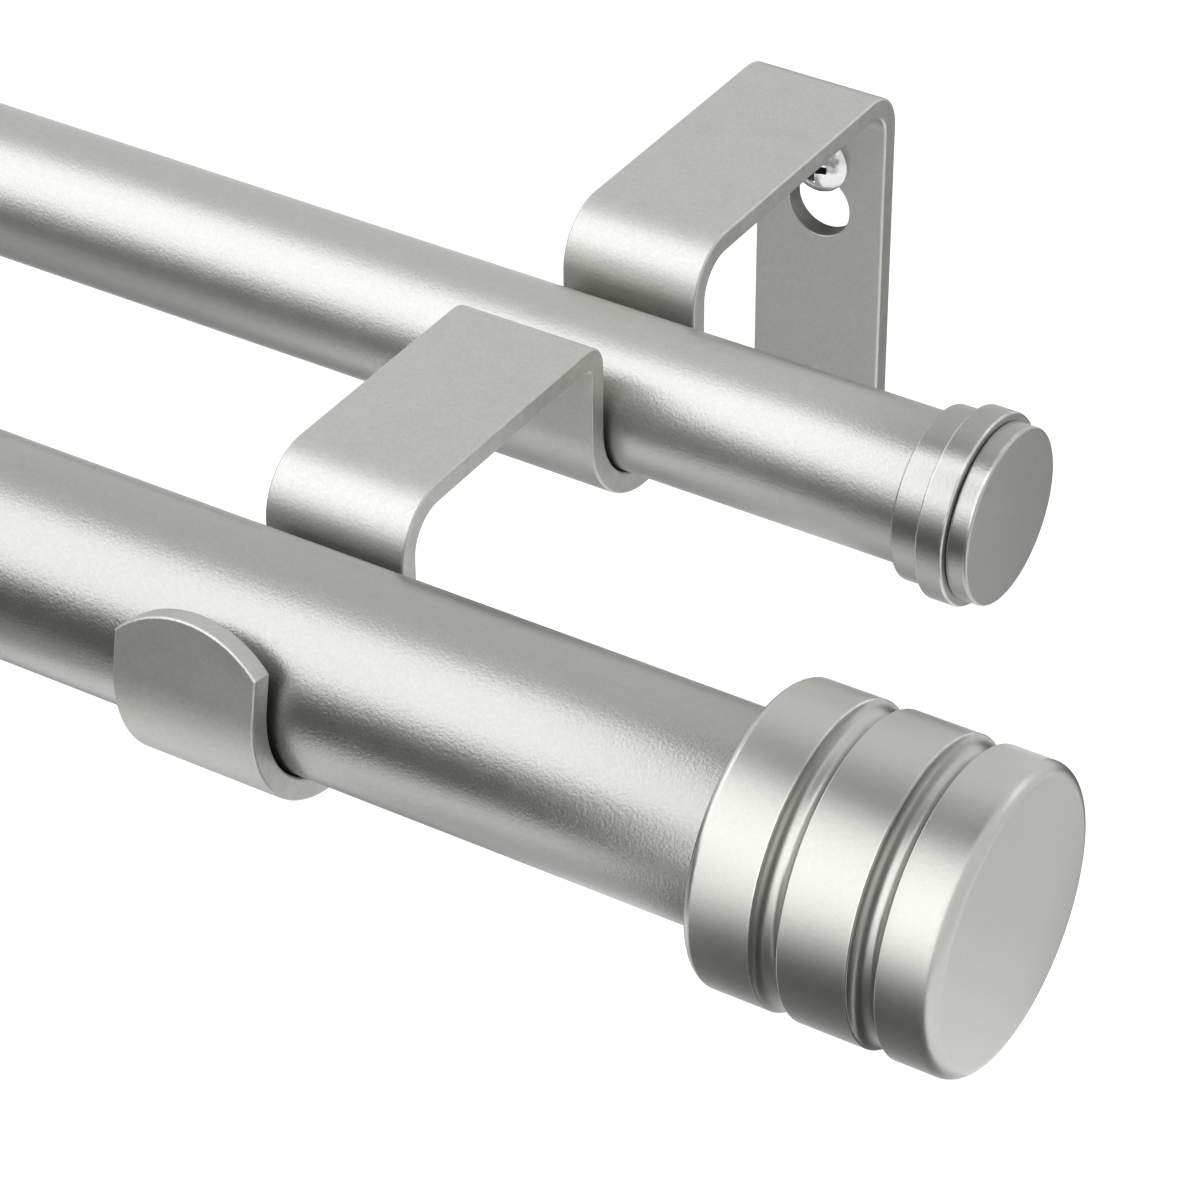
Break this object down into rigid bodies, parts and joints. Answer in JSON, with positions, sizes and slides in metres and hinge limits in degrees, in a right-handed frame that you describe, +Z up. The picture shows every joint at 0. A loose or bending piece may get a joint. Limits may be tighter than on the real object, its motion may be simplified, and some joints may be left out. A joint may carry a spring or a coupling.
{
  "type": "double curtain pole",
  "caption": "Two parallel capped metal curtain tubes, one thick and one thin, lying in folded flat strip brackets screwed to a wall.",
  "frame": {"origin": "centre of the back face of the right bracket's wall plate, on the wall plane", "axes": "+X along both poles towards the end shown in the picture, +Y into the wall, +Z up"},
  "size_m": [0.7318, 0.1563, 0.0643],
  "materials": {
    "pole_finish": "satin nickel, fine metallic grain",
    "cap_finish": "satin nickel, fine metallic grain",
    "bracket_finish": "satin nickel, fine metallic grain",
    "screw_plate": "bright plated"
  },
  "bodies": {
    "root": {"front_pole": "pole_finish", "rear_pole": "pole_finish", "front_cap_right": "cap_finish", "front_cap_left": "cap_finish", "rear_cap_right": "cap_finish", "rear_cap_left": "cap_finish", "bracket_right": "bracket_finish", "bracket_left": "bracket_finish", "screw_upper_right": "screw_plate", "screw_lower_right": "screw_plate", "screw_upper_left": "screw_plate", "screw_lower_left": "screw_plate"}
  },
  "joints": []
}
